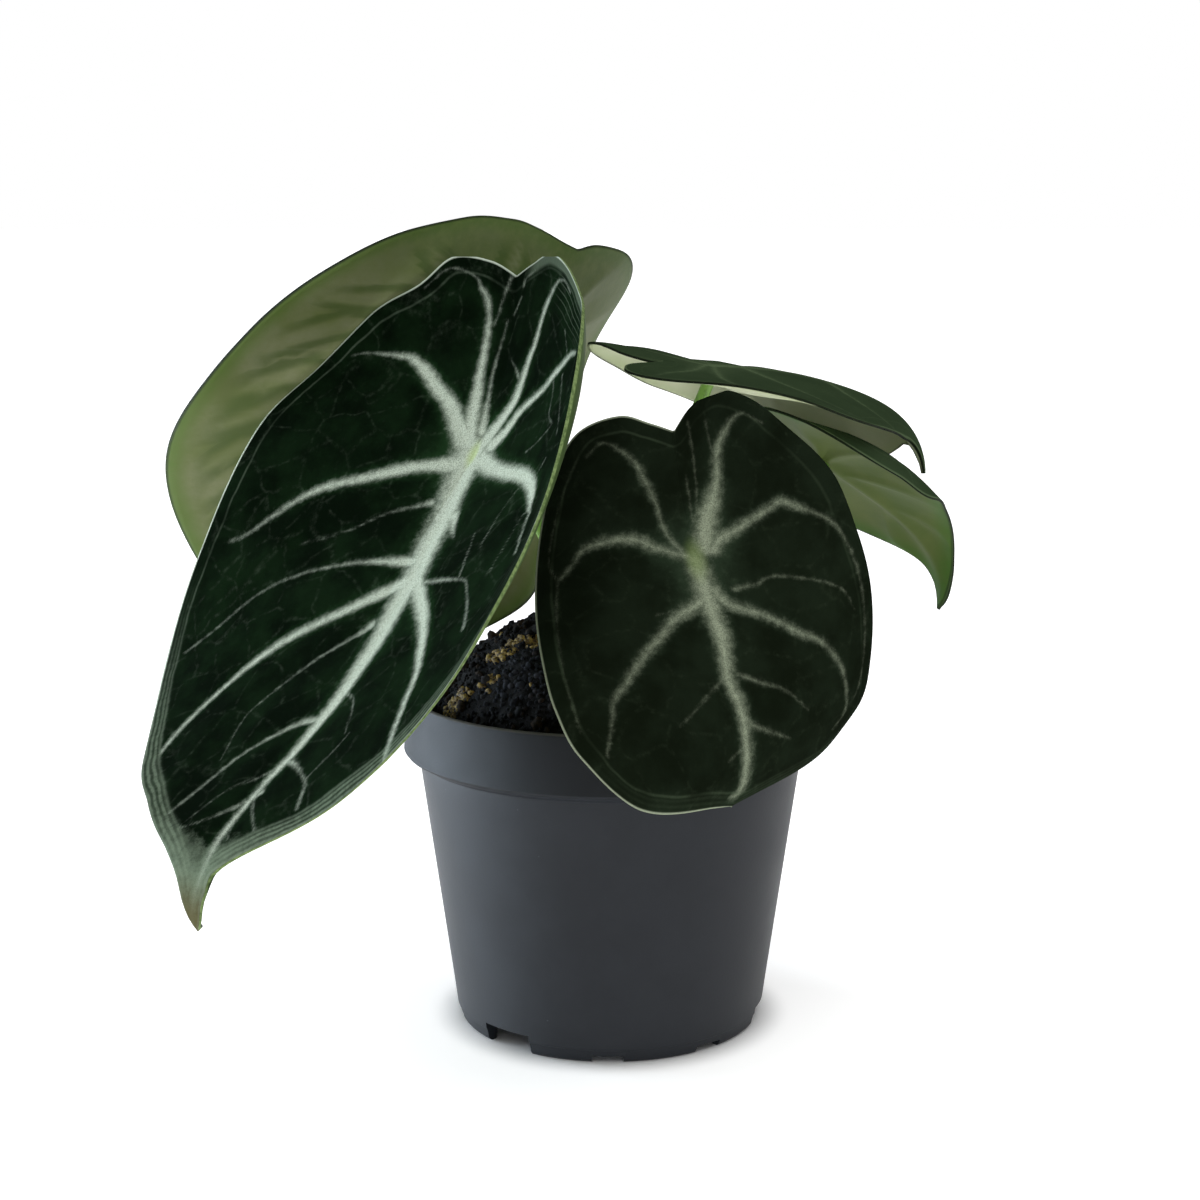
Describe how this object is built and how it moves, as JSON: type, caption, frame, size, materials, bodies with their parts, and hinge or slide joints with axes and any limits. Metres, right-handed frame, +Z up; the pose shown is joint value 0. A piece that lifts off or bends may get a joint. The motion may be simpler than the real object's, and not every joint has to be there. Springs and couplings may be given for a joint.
{
  "type": "potted ninja alocasia",
  "caption": "Small potted alocasia with dark velvety, pale-veined heart-shaped leaves on arching stalks, in a tapered grey plastic nursery pot filled with soil.",
  "frame": {"origin": "middle of the pot's base, on the surface that it stands on", "axes": "+Z up along the pot's axis, -Y towards the front of the plant, +X to the right seen from the front"},
  "size_m": [0.1174, 0.1174, 0.1162],
  "materials": {
    "pot_plastic": "matte moulded",
    "soil": "crumbly, matte",
    "leaf_blade": "velvety with pale veins",
    "petiole": "smooth satin"
  },
  "bodies": {
    "root": {"pot": "pot_plastic", "soil": "soil", "leaf_front_left": "leaf_blade", "petiole_front_left": "petiole", "leaf_back_left": "leaf_blade", "petiole_back_left": "petiole", "leaf_front_right": "leaf_blade", "petiole_front_right": "petiole", "leaf_right_upper": "leaf_blade", "petiole_right_upper": "petiole", "leaf_right_lower": "leaf_blade", "petiole_right_lower": "petiole"}
  },
  "joints": []
}
